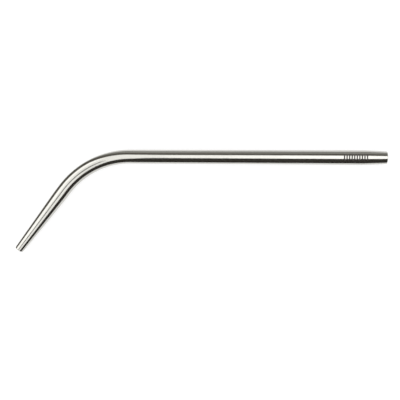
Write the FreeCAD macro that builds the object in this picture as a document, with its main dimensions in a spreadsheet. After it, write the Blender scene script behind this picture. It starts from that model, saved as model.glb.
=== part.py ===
import FreeCAD, Part

import math
import os

import Sketcher

# Suction cannula: one stainless steel tube, open from end to end and bent once.
# The straight shaft carries a short cone at its hose end, where the suction hose pushes on.
# Past the bend the tube is drawn down to a long slim nose, whose mouth is the tip.
# The wall keeps its thickness round the bend, and the bore narrows with the tube at both ends.
# Each mouth has a short parallel bore and a rounded lip, so nothing cuts tissue or hose.
#
# The origin is the centre of the hose mouth, on the tube's own axis.
# +X points out of the hose mouth along the shaft, and the bend lies in the XY plane,
# turning the nose towards -X and -Y. The cannula lies on its side, so +Z is up.

# Driving dimensions: name, value, meaning. Lengths are in mm and the angle in degrees.
SIZES = [
    ("tube_diameter", 6.5, "outside diameter of the tube"),
    ("tube_wall", 0.5, "wall thickness of the tube"),
    ("shaft_straight", 108.1, "straight tube between the bend and the hose cone"),
    ("hose_cone", 9.5, "length of the cone at the hose end"),
    ("hose_bore", 4.5, "bore diameter at the hose mouth"),
    ("hose_wall", 0.55, "wall thickness at the hose mouth"),
    ("hose_land", 3.0, "length of the parallel bore at the hose mouth"),
    ("bend_radius", 40.5, "radius of the bend at the tube's axis"),
    ("bend_angle", 52.5, "turn of the bend"),
    ("leg_straight", 4.0, "straight tube between the bend and the nose"),
    ("nose_cone", 33.5, "length of the drawn-down nose"),
    ("tip_bore", 3.0, "bore diameter at the tip"),
    ("tip_wall", 0.6, "wall thickness at the tip"),
    ("tip_land", 4.0, "length of the parallel bore at the tip"),
    ("run_out", 2.0, "length over which a cone eases into the tube, each side of the corner"),
    ("lip_outer", 0.4, "outside rounding of each mouth"),
    ("lip_inner", 0.12, "inside rounding of each mouth"),
]

# A lip takes at most this share of its wall, so a flat ring is left between the two.
LIP_SHARE_OUTER = 0.65
LIP_SHARE_INNER = 0.2
# A run-out takes at most this share of the straight and of the cone that it joins.
RUN_OUT_SHARE = 0.45
# A corner that turns less than this, in radians, is straight and has nothing to ease.
STRAIGHT = 0.0001

FULL_TURN = 360.0
HALF_TURN = 180.0
VOLUME_TOLERANCE = 0.0001


def make_sheet(doc):
    """Puts the driving dimensions in a spreadsheet, one alias each."""
    sheet = doc.addObject("Spreadsheet::Sheet", "sizes")
    for row, (name, value, meaning) in enumerate(SIZES, start=1):
        sheet.set(f"A{row}", meaning)
        sheet.set(f"B{row}", str(value))
        sheet.setAlias(f"B{row}", name)
    doc.recompute()


def origin_plane(body, role):
    return next(f for f in body.Origin.OriginFeatures if f.Role == role)


def new_sketch(body, name, role):
    """A sketch on one of the body's own origin planes."""
    sketch = body.newObject("Sketcher::SketchObject", name)
    sketch.AttachmentSupport = [(origin_plane(body, role), "")]
    sketch.MapMode = "FlatFace"
    return sketch


def dimension(sketch, constraint, name, expression):
    """Adds a named dimension and binds it to the spreadsheet."""
    index = sketch.addConstraint(constraint)
    sketch.renameConstraint(index, name)
    sketch.setExpression(f"Constraints.{name}", expression)


def draw_corners(sketch, corners):
    """A closed polygon whose corners are placed from the sketch's origin by spreadsheet expressions."""
    points = []
    for _, along, radius in corners:
        x = sketch.evalExpression(along)
        y = sketch.evalExpression(radius)
        points.append(FreeCAD.Vector(x, y, 0))
    count = len(points)
    for i in range(count):
        sketch.addGeometry(Part.LineSegment(points[i], points[(i + 1) % count]), False)
    for i in range(count):
        sketch.addConstraint(Sketcher.Constraint("Coincident", i, 2, (i + 1) % count, 1))
    for i, (name, along, radius) in enumerate(corners):
        if along == "0":
            sketch.addConstraint(Sketcher.Constraint("PointOnObject", i, 1, -2))
        else:
            across = Sketcher.Constraint("DistanceX", -1, 1, i, 1, points[i].x)
            dimension(sketch, across, f"{name}_along", along)
        up = Sketcher.Constraint("DistanceY", -1, 1, i, 1, points[i].y)
        dimension(sketch, up, f"{name}_radius", radius)
    return points


def round_corner(sketch, points, corner, radius):
    """Rounds one corner of the polygon and keeps the sharp corner as a construction point."""
    count = len(points)
    before = (corner - 1) % count
    towards_before = points[corner] + (points[before] - points[corner]) * 0.1
    towards_after = points[corner] + (points[(corner + 1) % count] - points[corner]) * 0.1
    arc = sketch.GeometryCount
    sketch.fillet(before, corner, towards_before, towards_after, radius, True, True)
    return arc, arc + 1


def ease_corner(sketch, points, corner, name, expression):
    """Eases a cone into a cylinder with a tangent arc. The expression is its tangent length."""
    run_out = sketch.evalExpression(expression)
    count = len(points)
    one = points[(corner - 1) % count] - points[corner]
    other = points[(corner + 1) % count] - points[corner]
    turn = math.pi - one.getAngle(other)
    if turn < STRAIGHT:
        return
    arc, point = round_corner(sketch, points, corner, run_out / math.tan(turn / 2))
    length = Sketcher.Constraint("Distance", point, 1, corner, 1, run_out)
    dimension(sketch, length, f"{name}_run_out", expression)


def round_lip(sketch, points, corner, name, expression):
    """Rounds a corner of the mouth. The expression is its radius."""
    radius = sketch.evalExpression(expression)
    arc, point = round_corner(sketch, points, corner, radius)
    dimension(sketch, Sketcher.Constraint("Radius", arc, radius), f"{name}_radius", expression)


def draw_end_wall(sketch, straight, cone, bore, wall, land):
    """The wall section of a straight tube that ends in a cone, from the bend (x = 0) to the mouth.

    Each argument is the name of a size. The section lies above the tube's axis, which is the X axis.
    """
    tube = "sizes.tube_diameter / 2"
    tube_bore = f"{tube} - sizes.tube_wall"
    mouth = f"sizes.{straight} + sizes.{cone}"
    mouth_bore = f"sizes.{bore} / 2"
    mouth_outer = f"{mouth_bore} + sizes.{wall}"
    corners = [
        ("bend_outer", "0", tube),
        ("cone_outer", f"sizes.{straight}", tube),
        ("mouth_outer", mouth, mouth_outer),
        ("mouth_inner", mouth, mouth_bore),
        ("land_inner", f"{mouth} - sizes.{land}", mouth_bore),
        ("cone_inner", f"sizes.{straight}", tube_bore),
        ("bend_inner", "0", tube_bore),
    ]
    points = draw_corners(sketch, corners)
    outer_lip = f"min(sizes.lip_outer; {LIP_SHARE_OUTER} * sizes.{wall})"
    inner_lip = f"min(sizes.lip_inner; {LIP_SHARE_INNER} * sizes.{wall})"
    round_lip(sketch, points, 2, "lip_outer", outer_lip)
    round_lip(sketch, points, 3, "lip_inner", inner_lip)
    room = f"{RUN_OUT_SHARE} * min(sizes.{straight}; sizes.{cone} - sizes.{land})"
    run_out = f"min(sizes.run_out; {room})"
    ease_corner(sketch, points, 1, "outer", run_out)
    ease_corner(sketch, points, 5, "inner", run_out)


def revolve(body, name, sketch, axis, angle):
    """Turns a sketch about one of its own axes. The angle is an expression."""
    feature = body.newObject("PartDesign::Revolution", name)
    feature.Profile = sketch
    feature.ReferenceAxis = (sketch, [axis])
    feature.Angle = sketch.evalExpression(angle)
    feature.setExpression("Angle", angle)
    return feature


def add_bend(body):
    """The bent stretch: the ring section of the tube, turned about the centre of the bend."""
    sketch = new_sketch(body, "bend_section", "YZ_Plane")
    sketch.setExpression("AttachmentOffset.Base.x", "-sizes.bend_radius")
    centre = sketch.evalExpression("sizes.bend_radius")
    rings = [
        ("outside", "sizes.tube_diameter / 2"),
        ("inside", "sizes.tube_diameter / 2 - sizes.tube_wall"),
    ]
    for name, expression in rings:
        radius = sketch.evalExpression(expression)
        middle = FreeCAD.Vector(centre, 0, 0)
        ring = sketch.addGeometry(Part.Circle(middle, FreeCAD.Vector(0, 0, 1), radius), False)
        sketch.addConstraint(Sketcher.Constraint("PointOnObject", ring, 3, -1))
        across = Sketcher.Constraint("DistanceX", -1, 1, ring, 3, centre)
        dimension(sketch, across, f"{name}_centre", "sizes.bend_radius")
        dimension(sketch, Sketcher.Constraint("Radius", ring, radius), name, expression)
    return revolve(body, "bend", sketch, "V_Axis", "sizes.bend_angle * 1 deg")


def add_shaft(body):
    """The straight shaft with its hose cone, turned about the tube's axis."""
    sketch = new_sketch(body, "shaft_wall", "XY_Plane")
    draw_end_wall(sketch, "shaft_straight", "hose_cone", "hose_bore", "hose_wall", "hose_land")
    return revolve(body, "shaft", sketch, "H_Axis", f"{FULL_TURN} deg")


def add_leg(body):
    """The leg past the bend with its drawn-down nose, turned about its own axis."""
    sketch = new_sketch(body, "leg_wall", "XY_Plane")
    turn = "sizes.bend_angle * 1 deg"
    sketch.setExpression("AttachmentOffset.Base.x", f"-sizes.bend_radius * sin({turn})")
    sketch.setExpression("AttachmentOffset.Base.y", f"-sizes.bend_radius * (1 - cos({turn}))")
    sketch.setExpression("AttachmentOffset.Rotation.Angle", f"{turn} + {HALF_TURN} deg")
    draw_end_wall(sketch, "leg_straight", "nose_cone", "tip_bore", "tip_wall", "tip_land")
    return revolve(body, "leg", sketch, "H_Axis", f"{FULL_TURN} deg")


def make_cannula(doc):
    """The whole tube as one body. Its features start where the shaft meets the bend."""
    body = doc.addObject("PartDesign::Body", "cannula_tube")
    body.Label = "cannula_tube"
    add_shaft(body)
    doc.recompute()
    add_bend(body)
    doc.recompute()
    add_leg(body)
    doc.recompute()
    body.setExpression("Placement.Base.x", "-(sizes.shaft_straight + sizes.hose_cone)")
    doc.recompute()
    return body


def turned_volume(feature):
    """The section's area times the way its centre goes round the axis."""
    section = Part.makeFace(feature.Profile[0].Shape, "Part::FaceMakerBullseye")
    reach = section.CenterOfMass.distanceToLine(feature.Base, feature.Axis)
    return section.Area * reach * math.radians(feature.Angle.Value)


def check(doc, body):
    """Stops if a feature failed, or if the tube isn't one sound solid of the expected volume."""
    failed = [o.Name for o in doc.Objects if {"Invalid", "Error"} & set(o.State)]
    if failed:
        raise RuntimeError(f"failed features: {failed}")
    shape = body.Shape
    if shape.isNull() or not shape.isValid() or len(shape.Solids) != 1:
        raise RuntimeError("the tube isn't one sound solid")
    turned = [o for o in body.Group if o.TypeId == "PartDesign::Revolution"]
    expected = sum(turned_volume(feature) for feature in turned)
    print("volume", round(shape.Volume, 2), "mm3, expected", round(expected, 2))
    if abs(shape.Volume - expected) > VOLUME_TOLERANCE * expected:
        raise RuntimeError("the tube's volume isn't that of its sections")


def export(body):
    os.makedirs("parts", exist_ok=True)
    body.Shape.exportStep(os.path.join("parts", f"{body.Label}.step"))


document = FreeCAD.newDocument("suction_cannula")
make_sheet(document)
cannula = make_cannula(document)
check(document, cannula)
export(cannula)
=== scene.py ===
import math

import bpy
from mathutils import Matrix, Vector


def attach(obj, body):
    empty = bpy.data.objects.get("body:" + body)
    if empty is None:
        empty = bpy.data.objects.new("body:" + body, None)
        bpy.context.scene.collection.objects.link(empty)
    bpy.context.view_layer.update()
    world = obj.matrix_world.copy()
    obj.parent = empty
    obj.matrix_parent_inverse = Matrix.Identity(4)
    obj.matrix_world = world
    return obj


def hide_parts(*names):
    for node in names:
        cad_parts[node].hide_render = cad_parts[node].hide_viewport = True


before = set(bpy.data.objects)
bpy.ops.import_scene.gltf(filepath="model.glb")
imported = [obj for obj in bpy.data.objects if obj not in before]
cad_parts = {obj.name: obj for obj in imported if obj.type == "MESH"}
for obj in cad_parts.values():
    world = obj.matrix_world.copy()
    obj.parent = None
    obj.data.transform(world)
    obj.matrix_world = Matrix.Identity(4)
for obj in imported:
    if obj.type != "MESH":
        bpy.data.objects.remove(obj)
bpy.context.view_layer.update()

mm = 0.001
visibleToAll = ("visible_camera", "visible_diffuse", "visible_glossy", "visible_transmission",
                "visible_volume_scatter", "visible_shadow")


class Wire:    # an output socket that takes part in Python expressions
    def __init__(self, graph, socket):
        self.graph = graph
        self.socket = socket

    def __getitem__(self, name):    # another output of the same node
        outputs = self.socket.node.outputs
        return Wire(self.graph, next(s for s in outputs if s.enabled and s.name == name))

    def __add__(self, other):
        return self.graph.function("ADD", self, other)

    def __radd__(self, other):
        return self.graph.function("ADD", other, self)

    def __sub__(self, other):
        return self.graph.function("SUBTRACT", self, other)

    def __rsub__(self, other):
        return self.graph.function("SUBTRACT", other, self)

    def __mul__(self, other):
        return self.graph.function("MULTIPLY", self, other)

    def __rmul__(self, other):
        return self.graph.function("MULTIPLY", other, self)

    def __truediv__(self, other):
        return self.graph.function("DIVIDE", self, other)

    def __rtruediv__(self, other):
        return self.graph.function("DIVIDE", other, self)

    def __mod__(self, other):
        return self.graph.function("MODULO", self, other)


class Graph:    # a node tree that is filled node by node
    def __init__(self, tree):
        self.tree = tree

    def add(self, kind, settings=None, values=None):
        node = self.tree.nodes.new(kind)
        for name, setting in (settings or {}).items():
            if name == "items":
                while len(node.index_switch_items) < setting:
                    node.index_switch_items.new()
            else:
                setattr(node, name, setting)
        for name, value in (values or {}).items():
            self.feed(node, name, value)
        return Wire(self, next((s for s in node.outputs if s.enabled), None))

    def feed(self, node, name, value):
        if isinstance(name, int):
            socket = node.inputs[name]
        else:
            socket = next(s for s in node.inputs if s.enabled and s.name == name)
        if isinstance(value, Wire):
            self.tree.links.new(value.socket, socket)
        else:
            socket.default_value = value

    def vector(self, x, y, z):
        return self.add("ShaderNodeCombineXYZ", {}, {"X": x, "Y": y, "Z": z})

    def split(self, vector):
        parts = self.add("ShaderNodeSeparateXYZ", {}, {"Vector": vector})
        return parts["X"], parts["Y"], parts["Z"]

    def smooth(self, value, low, high):    # 0 below low, 1 above high
        return self.add("ShaderNodeMapRange", {"interpolation_type": "SMOOTHSTEP"},
                        {"Value": value, "From Min": low, "From Max": high})

    def function(self, operation, *values):    # a Math node
        return self.add("ShaderNodeMath", {"operation": operation}, dict(enumerate(values)))

    def pointCount(self, curve):
        size = self.add("GeometryNodeAttributeDomainSize", {"component": "CURVE"}, {"Geometry": curve})
        return size["Point Count"]


cameraView = {
    "aim": (-83.8, -20.1, 0.0),    # mm, the middle of the picture
    "distance": 259.0,    # mm
    "tilt": 8.0,    # degrees from straight above, towards the hose end
    "roll": -0.88,    # degrees
    "lens": 50.0,
    "sensor": 36.0,
}


def makeCamera(view):
    tilt, roll = math.radians(view["tilt"]), math.radians(view["roll"])
    back = Vector((math.sin(tilt), 0.0, 1.0)).normalized()
    right = (-back).cross(Vector((math.sin(roll), math.cos(roll), 0.0))).normalized()
    up = back.cross(right)
    data = bpy.data.cameras.new("camera")
    data.lens = view["lens"]
    data.sensor_width = view["sensor"]
    data.clip_start = 0.01
    data.clip_end = 50.0
    camera = bpy.data.objects.new("camera", data)
    bpy.context.scene.collection.objects.link(camera)
    turn = Matrix((right, up, back)).transposed().to_4x4()
    place = (Vector(view["aim"]) + back * view["distance"]) * mm
    camera.matrix_world = Matrix.Translation(place) @ turn
    bpy.context.scene.camera = camera


makeCamera(cameraView)
bpy.context.scene.view_settings.view_transform = "Standard"
print("camera made")


steelLook = {
    "colour": (0.70, 0.692, 0.655, 1.0),
    "dullColour": (0.60, 0.59, 0.555, 1.0),
    "roughness": 0.11,
    "smudge": 0.04,    # how much rougher a handled patch is
    "polishDepth": 0.0003,    # mm
    "patches": (60.0, 260.0),    # per metre along the tube, then across it
    "rings": (4200.0, 90.0),
    "streaks": (45.0, 2600.0),
    "ringRoughness": 0.03,
    "handledShare": 0.35,    # how far a handled patch goes to the dull colour
    "streakShare": 0.2,
    "streakRelief": 0.35,
    "boreRoughness": 0.42,
    "boreMetal": 0.7,    # the drawn bore is left dull
    "etchColour": (0.032, 0.029, 0.027, 1.0),
    "etchRoughness": 0.5,
}
etchedScale = {    # mm
    "start": 8.9,    # from the hose mouth
    "pitch": 1.1,
    "count": 10,
    "longEvery": 3,
    "width": 0.57,
    "shortReach": 1.0,    # each way from the middle
    "longReach": 1.24,
    "middle": 0.2,    # degrees from the top, towards +Y
    "radius": 3.25,
    "softness": 0.03,    # of a line's edge, each way
}


def makeSteel(look, scale):
    material = bpy.data.materials.new("polishedSteel")
    material.use_nodes = True
    material.node_tree.nodes.clear()
    graph = Graph(material.node_tree)
    blank = graph.add("ShaderNodeAttribute", {"attribute_name": "blank"})["Vector"]
    inside = graph.add("ShaderNodeAttribute", {"attribute_name": "inside"})["Fac"]
    along, across, height = graph.split(blank)
    millimetres = along / mm

    def grain(scales, detail, roughness):
        alongScale, acrossScale = scales
        place = graph.vector(along * alongScale, across * acrossScale, height * acrossScale)
        return graph.add("ShaderNodeTexNoise", {"noise_dimensions": "3D"},
                         {"Vector": place, "Scale": 1.0, "Detail": detail, "Roughness": roughness})

    # handling and polish
    patches = grain(look["patches"], 3.0, 0.55)
    rings = grain(look["rings"], 4.0, 0.6)
    streaks = grain(look["streaks"], 2.0, 0.5)
    handled = graph.smooth(patches, 0.42, 0.68)

    # laser-etched scale
    angle = graph.function("ARCTAN2", across, height)
    arc = (angle - math.radians(scale["middle"])) * scale["radius"]
    place = (millimetres - scale["start"]) / scale["pitch"]
    nearest = graph.function("ROUND", place)
    offLine = graph.function("ABSOLUTE", place - nearest) * scale["pitch"]
    number = graph.function("MINIMUM", graph.function("MAXIMUM", nearest, 0.0), scale["count"] - 1)
    onScale = 1.0 - graph.smooth(graph.function("ABSOLUTE", nearest - number), 0.2, 0.4)
    pastLong = graph.function("ABSOLUTE", graph.function("MODULO", number, scale["longEvery"]))
    isLong = 1.0 - graph.smooth(pastLong, 0.2, 0.4)
    reach = isLong * (scale["longReach"] - scale["shortReach"]) + scale["shortReach"]
    outside = 1.0 - graph.smooth(inside, 0.05, 0.3)
    half, soft = scale["width"] / 2, scale["softness"]
    line = 1.0 - graph.smooth(offLine, half - soft, half + soft)
    end = 1.0 - graph.smooth(graph.function("ABSOLUTE", arc) - reach, -soft, soft)
    etched = line * end * onScale * outside

    colour = graph.add("ShaderNodeMix", {"data_type": "RGBA"},
                       {"Factor": handled * look["handledShare"] + streaks * look["streakShare"],
                        "A": look["colour"], "B": look["dullColour"]})
    bare = graph.add("ShaderNodeMix", {"data_type": "RGBA"},
                     {"Factor": inside, "A": colour, "B": look["dullColour"]})
    finished = graph.add("ShaderNodeMix", {"data_type": "RGBA"},
                         {"Factor": etched, "A": bare, "B": look["etchColour"]})
    polished = look["roughness"] + handled * look["smudge"] + rings * look["ringRoughness"]
    bored = polished + inside * (look["boreRoughness"] - look["roughness"])
    roughness = bored * (1.0 - etched) + etched * look["etchRoughness"]
    metallic = 1.0 - etched - inside * (1.0 - look["boreMetal"])
    relief = rings + streaks * look["streakRelief"]
    bump = graph.add("ShaderNodeBump", {},
                     {"Strength": 0.5, "Distance": look["polishDepth"] * mm, "Height": relief})
    shader = graph.add("ShaderNodeBsdfPrincipled", {},
                       {"Base Color": finished, "Metallic": metallic, "Roughness": roughness, "Normal": bump})
    graph.add("ShaderNodeOutputMaterial", {}, {"Surface": shader})
    return material


steel = makeSteel(steelLook, etchedScale)
print("steel made")


tubeSizes = {    # lengths in metres, the same sizes as the solid's
    "tube radius": 3.25 * mm,
    "tube wall": 0.5 * mm,
    "shaft": 117.6 * mm,    # from the hose mouth to the bend
    "hose cone": 9.5 * mm,
    "hose bore radius": 2.25 * mm,
    "hose wall": 0.55 * mm,
    "hose land": 3.0 * mm,
    "bend radius": 40.5 * mm,
    "bend angle": math.radians(52.5),
    "leg straight": 4.0 * mm,
    "nose cone": 33.5 * mm,
    "tip bore radius": 1.5 * mm,
    "tip wall": 0.6 * mm,
    "tip land": 4.0 * mm,
    "run-out": 2.0 * mm,    # length over which a cone eases into the tube
    "hose run-out": 2.0 * mm,
    "outer lip": 0.36 * mm,
    "inner lip": 0.11 * mm,
    "spacing": 0.8 * mm,    # between the rings of the mesh
    "around": 112,    # faces round the tube
}


def tubeTree(sizes):
    tree = bpy.data.node_groups.new("bentTube", "GeometryNodeTree")
    tree.interface.new_socket("Mesh", in_out="OUTPUT", socket_type="NodeSocketGeometry")
    for name, value in sizes.items():
        kind = "NodeSocketInt" if isinstance(value, int) else "NodeSocketFloat"
        tree.interface.new_socket(name, in_out="INPUT", socket_type=kind)
    tree.interface.new_socket("material", in_out="INPUT", socket_type="NodeSocketMaterial")
    graph = Graph(tree)
    given = graph.add("NodeGroupInput")
    tube, cone, nose = given["tube radius"], given["hose cone"], given["nose cone"]
    bore = tube - given["tube wall"]
    hoseOuter = given["hose bore radius"] + given["hose wall"]
    tipOuter = given["tip bore radius"] + given["tip wall"]
    noseStart = given["shaft"] + given["bend radius"] * given["bend angle"] + given["leg straight"]
    tip = noseStart + nose

    def easing(runOut, run, rise):    # radius of the arc that eases a cone into the tube
        half = graph.function("ARCTAN2", rise, run) / 2.0
        return runOut / graph.function("TANGENT", half)

    corners = [    # distance from the hose mouth, radius, rounding
        (0.0, hoseOuter, given["outer lip"]),
        (cone, tube, easing(given["hose run-out"], cone, tube - hoseOuter)),
        (noseStart, tube, easing(given["run-out"], nose, tube - tipOuter)),
        (tip, tipOuter, given["outer lip"]),
        (tip, given["tip bore radius"], given["inner lip"]),
        (tip - given["tip land"], given["tip bore radius"], 0.0),
        (noseStart, bore,
         easing(given["run-out"], nose - given["tip land"], bore - given["tip bore radius"])),
        (cone, bore,
         easing(given["hose run-out"], cone - given["hose land"], bore - given["hose bore radius"])),
        (given["hose land"], given["hose bore radius"], 0.0),
        (0.0, given["hose bore radius"], given["inner lip"]),
    ]
    index = graph.add("GeometryNodeInputIndex")
    places = {str(i): graph.vector(*corner) for i, corner in enumerate(corners)}
    corner = graph.add("GeometryNodeIndexSwitch", {"data_type": "VECTOR", "items": len(corners)},
                       {"Index": index, **places})
    station, radius, rounding = graph.split(corner)
    line = graph.add("GeometryNodeMeshLine", {}, {"Count": len(corners)})
    section = graph.add("GeometryNodeMeshToCurve", {}, {"Mesh": line})
    section = graph.add("GeometryNodeSetSplineCyclic", {}, {"Geometry": section, "Cyclic": True})
    section = graph.add("GeometryNodeSetPosition", {},
                        {"Geometry": section, "Position": graph.vector(station, radius, 0.0)})
    isInner = graph.function("GREATER_THAN", index, len(corners) / 2 - 1.5)
    section = graph.add("GeometryNodeStoreNamedAttribute", {"data_type": "FLOAT"},
                        {"Geometry": section, "Name": "inside", "Value": isInner})
    section = graph.add("GeometryNodeFilletCurve", {"mode": "POLY"},
                        {"Curve": section, "Count": 8, "Radius": rounding, "Limit Radius": True})

    # more points on the long runs
    position = graph.add("GeometryNodeInputPosition")
    count = graph.pointCount(section)
    following = graph.add("GeometryNodeFieldAtIndex", {"data_type": "FLOAT_VECTOR", "domain": "POINT"},
                          {"Value": position, "Index": (index + 1) % count})
    run = graph.add("ShaderNodeVectorMath", {"operation": "DISTANCE"}, {0: position, 1: following})["Value"]
    section = graph.add("GeometryNodeSubdivideCurve", {},
                        {"Curve": section, "Cuts": graph.function("FLOOR", run / given["spacing"])})

    # turned round the axis: one row of the sheet for each point of the section
    rows = graph.pointCount(section)
    columns = given["around"] + 1
    sheet = graph.add("GeometryNodeMeshGrid", {},
                      {"Size X": 1.0, "Size Y": 1.0, "Vertices X": rows + 1, "Vertices Y": columns})
    row = graph.function("FLOOR", index / columns)
    column = index - row * columns
    wrapped = row % rows
    sampled = graph.add("GeometryNodeSampleIndex", {"data_type": "FLOAT_VECTOR", "domain": "POINT"},
                        {"Geometry": section, "Value": position, "Index": wrapped})
    isInside = graph.add("GeometryNodeInputNamedAttribute", {"data_type": "FLOAT"}, {"Name": "inside"})
    sampledInside = graph.add("GeometryNodeSampleIndex", {"data_type": "FLOAT", "domain": "POINT"},
                              {"Geometry": section, "Value": isInside, "Index": wrapped})
    station, radius, _ = graph.split(sampled)
    turn = column * (2 * math.pi) / given["around"]
    sine, cosine = graph.function("SINE", turn), graph.function("COSINE", turn)
    blank = graph.vector(station, radius * sine, radius * cosine)
    sheet = graph.add("GeometryNodeStoreNamedAttribute", {"data_type": "FLOAT"},
                      {"Geometry": sheet, "Name": "inside", "Value": sampledInside})
    sheet = graph.add("GeometryNodeStoreNamedAttribute", {"data_type": "FLOAT_VECTOR"},
                      {"Geometry": sheet, "Name": "blank", "Value": blank})

    # bent: each ring is carried along the straight, the arc or the leg
    blank = graph.add("GeometryNodeInputNamedAttribute", {"data_type": "FLOAT_VECTOR"}, {"Name": "blank"})
    station, across, height = graph.split(blank)
    beyond = station - given["shaft"]
    angle = graph.add("ShaderNodeClamp", {},
                      {"Value": beyond / given["bend radius"], "Min": 0.0, "Max": given["bend angle"]})
    left = beyond - angle * given["bend radius"]    # way that is straight
    sine, cosine = graph.function("SINE", angle), graph.function("COSINE", angle)
    reachX = given["shaft"] + sine * given["bend radius"] + left * cosine + across * sine
    reachY = (1.0 - cosine) * given["bend radius"] + left * sine - across * cosine
    bent = graph.add("GeometryNodeSetPosition", {},
                     {"Geometry": sheet, "Position": graph.vector(0.0 - reachX, 0.0 - reachY, height)})
    bent = graph.add("GeometryNodeMergeByDistance", {}, {"Geometry": bent, "Distance": 0.002 * mm})
    bent = graph.add("GeometryNodeFlipFaces", {}, {"Mesh": bent})    # the bend turns the sheet over
    bent = graph.add("GeometryNodeSetShadeSmooth", {}, {"Geometry": bent, "Shade Smooth": True})
    bent = graph.add("GeometryNodeRealizeInstances", {}, {"Geometry": bent})
    bent = graph.add("GeometryNodeSetMaterial", {}, {"Geometry": bent, "Material": given["material"]})
    graph.add("NodeGroupOutput", {}, {"Mesh": bent})
    return tree


def growPiece(name, tree, inputs):    # runs a node tree once and keeps its mesh
    piece = bpy.data.objects.new(name, bpy.data.meshes.new(name))
    bpy.context.scene.collection.objects.link(piece)
    modifier = piece.modifiers.new(name, "NODES")
    modifier.node_group = tree
    for item in tree.interface.items_tree:
        if item.in_out == "INPUT":
            modifier[item.identifier] = inputs[item.name]
    evaluated = piece.evaluated_get(bpy.context.evaluated_depsgraph_get())
    mesh = bpy.data.meshes.new_from_object(evaluated)
    piece.modifiers.remove(modifier)
    piece.data = mesh
    return piece


tube = growPiece("bentTube", tubeTree(tubeSizes), {**tubeSizes, "material": steel})
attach(tube, "root")
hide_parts("cannula_tube")
print("tube made:", len(tube.data.polygons), "faces")


studio = {
    "floorLevel": -3.25,    # mm
    "floorSize": 8.0,    # metres
    "floorColour": (0.36, 0.36, 0.36, 1.0),
    "floorWhite": 0.72,    # the floor's own level as the camera sees it
    "floorMirrored": 0.53,    # and as it is seen in the steel, set lower as painted shade for the floor's shadow round the tube
    "softboxTint": (1.0, 0.998, 0.985),
    "roomWhite": 1.0,    # the background as the camera and the steel see it
    "roomLight": 0.75,    # the background as a soft light
}
lamps = {    # metres: place, width, then watts
    "topLamp": ((0.0, -0.12, 0.7), 0.9, 2.6),
}
softboxes = {    # metres: left, right, near and far edges, height, then the brightness from left to right
    "whiteBox": (-1.1, 0.4, -0.165, 0.8, 0.35,
                 [(-1.1, 1.5), (-0.36, 1.5), (-0.28, 1.1), (0.0, 1.55), (0.4, 1.55)]),
    "paleBox": (-1.1, 0.4, -0.8, -0.165, 0.35, [(-1.1, 1.15), (0.4, 1.15)]),
}
# strips of card that follow the tube and show only in the steel, each of one tint and one level
# an edge is mm sideways from the axis (+Y on the shaft) and mm above it, the lower edge first
# "from", "to" and "turn" are mm from the hose mouth; over "turn" a strip goes from its place
# beside the shaft to its place beside the leg
cards = {
    "blackCard": {
        "tint": (1.0, 0.9, 0.78), "level": 0.032, "from": -60.0, "to": 260.0, "turn": (126.0, 160.0),
        "besideShaft": ((-17.0, -3.2), (-28.0, 59.0)),
        "besideLeg": ((-20.0, -3.2), (-20.0, 18.0)),
    },
    "darkCard": {
        "tint": (1.0, 0.94, 0.82), "level": 0.11, "from": -60.0, "to": 260.0, "turn": (112.0, 142.0),
        "besideShaft": ((30.0, 21.0), (30.0, 68.0)),
        "besideLeg": ((10.0, -3.2), (16.0, 11.0)),
    },
    "greyCard": {
        "tint": (1.0, 0.99, 0.94), "level": 0.30, "from": -60.0, "to": 140.0, "turn": (112.0, 142.0),
        "besideShaft": ((30.0, -3.2), (30.0, 21.0)),
        "besideLeg": ((10.0, -3.2), (10.0, -3.2)),
    },
    "thinBar": {
        "tint": (1.0, 1.0, 0.95), "level": 0.06, "from": 142.0, "to": 230.0, "turn": (118.0, 155.0),
        "besideShaft": ((0.0, 40.0), (-9.0, 40.0)),
        "besideLeg": ((0.0, 40.0), (-9.0, 40.0)),
    },
}


# a level for what the camera sees, and one for what is seen in steel or through glass
def lookPath(graph, direct, mirrored):
    path = graph.add("ShaderNodeLightPath")
    indirect = graph.function("MINIMUM", path["Is Glossy Ray"] + path["Is Transmission Ray"], 1.0)
    return path["Is Camera Ray"] * direct + indirect * mirrored


def makeFloor(values):
    material = bpy.data.materials.new("paleFloor")
    material.use_nodes = True
    material.node_tree.nodes.clear()
    graph = Graph(material.node_tree)
    paper = graph.add("ShaderNodeBsdfDiffuse", {}, {"Color": values["floorColour"]})
    level = lookPath(graph, values["floorWhite"], values["floorMirrored"])
    glow = graph.add("ShaderNodeEmission", {}, {"Strength": level})
    both = graph.add("ShaderNodeAddShader", {}, {0: paper, 1: glow})
    graph.add("ShaderNodeOutputMaterial", {}, {"Surface": both})
    half, z = values["floorSize"] / 2, values["floorLevel"] * mm
    corners = [(-half, -half, z), (half, -half, z), (half, half, z), (-half, half, z)]
    mesh = bpy.data.meshes.new("floor")
    mesh.from_pydata(corners, [], [(0, 1, 2, 3)])
    mesh.materials.append(material)
    floor = bpy.data.objects.new("floor", mesh)
    bpy.context.scene.collection.objects.link(floor)
    return floor


def makeRoom(values):
    world = bpy.data.worlds.new("room")
    world.use_nodes = True
    world.node_tree.nodes.clear()
    graph = Graph(world.node_tree)
    more = values["roomWhite"] - values["roomLight"]
    level = values["roomLight"] + lookPath(graph, more, more)
    background = graph.add("ShaderNodeBackground", {}, {"Color": (1.0, 1.0, 1.0, 1.0), "Strength": level})
    graph.add("ShaderNodeOutputWorld", {}, {"Surface": background})
    bpy.context.scene.world = world


def glowingMaterial(name, tint):    # as bright as the mesh's attribute "level"
    material = bpy.data.materials.new(name)
    material.use_nodes = True
    material.node_tree.nodes.clear()
    graph = Graph(material.node_tree)
    level = graph.add("ShaderNodeAttribute", {"attribute_name": "level"})["Fac"]
    glow = graph.add("ShaderNodeEmission", {}, {"Color": (*tint, 1.0), "Strength": level})
    graph.add("ShaderNodeOutputMaterial", {}, {"Surface": glow})
    return material


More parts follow.
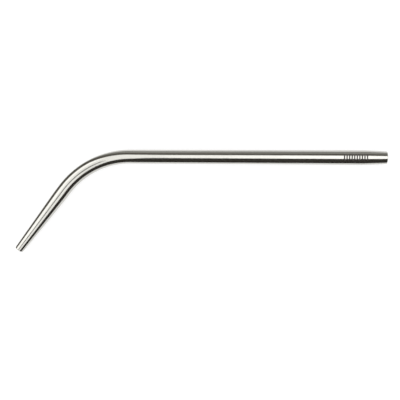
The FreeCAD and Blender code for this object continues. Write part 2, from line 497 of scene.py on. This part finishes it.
def makePanel(name, corners, faces, tint, levels):    # seen only as a reflection
    mesh = bpy.data.meshes.new(name)
    mesh.from_pydata(corners, [], faces)
    mesh.materials.append(glowingMaterial(name, tint))
    mesh.attributes.new("level", "FLOAT", "POINT").data.foreach_set("value", levels)
    panel = bpy.data.objects.new(name, mesh)
    bpy.context.scene.collection.objects.link(panel)
    for way in visibleToAll:
        setattr(panel, way, way == "visible_glossy")
    return panel


def makeSoftbox(name, left, right, near, far, height, brightness):
    corners, levels = [], []
    for x, level in brightness:
        corners += [(x, near, height), (x, far, height)]
        levels += [level, level]
    faces = [(2 * i, 2 * i + 1, 2 * i + 3, 2 * i + 2) for i in range(len(brightness) - 1)]
    return makePanel(name, corners, faces, studio["softboxTint"], levels)


def axisPoint(station):    # point of the tube's axis in mm, and the way towards the tip
    bend = tubeSizes["bend radius"] / mm
    angle = min(max((station - tubeSizes["shaft"] / mm) / bend, 0.0), tubeSizes["bend angle"])
    left = station - tubeSizes["shaft"] / mm - angle * bend
    way = Vector((-math.cos(angle), -math.sin(angle), 0.0))
    startX = -tubeSizes["shaft"] / mm - bend * math.sin(angle)
    start = Vector((startX, -bend * (1.0 - math.cos(angle)), 0.0))
    return start + way * left, way


def makeCard(name, card):
    spacing = 4.0    # mm between stations
    count = round((card["to"] - card["from"]) / spacing)
    first, last = card["turn"]
    corners = []
    for i in range(count + 1):
        station = card["from"] + (card["to"] - card["from"]) * i / count
        centre, way = axisPoint(station)
        outward = Vector((way.y, -way.x, 0.0))
        share = min(max((station - first) / (last - first), 0.0), 1.0)
        share = share * share * (3.0 - 2.0 * share)    # eased round the bend
        for shaftEdge, legEdge in zip(card["besideShaft"], card["besideLeg"]):
            away, height = (a + (b - a) * share for a, b in zip(shaftEdge, legEdge))
            corners.append((centre + outward * away + Vector((0.0, 0.0, height))) * mm)
    faces = [(2 * i, 2 * i + 1, 2 * i + 3, 2 * i + 2) for i in range(count)]
    return makePanel(name, corners, faces, card["tint"], [card["level"]] * len(corners))


def makeLamp(name, place, width, watts):
    data = bpy.data.lights.new(name, "AREA")
    data.size = width
    data.energy = watts
    lamp = bpy.data.objects.new(name, data)
    lamp.location = place
    lamp.visible_glossy = False
    bpy.context.scene.collection.objects.link(lamp)


makeRoom(studio)
for name, values in lamps.items():
    makeLamp(name, *values)
stagePieces = [makeFloor(studio)] + [makeSoftbox(name, *values) for name, values in softboxes.items()]
stagePieces += [makeCard(name, card) for name, card in cards.items()]
print("studio made")
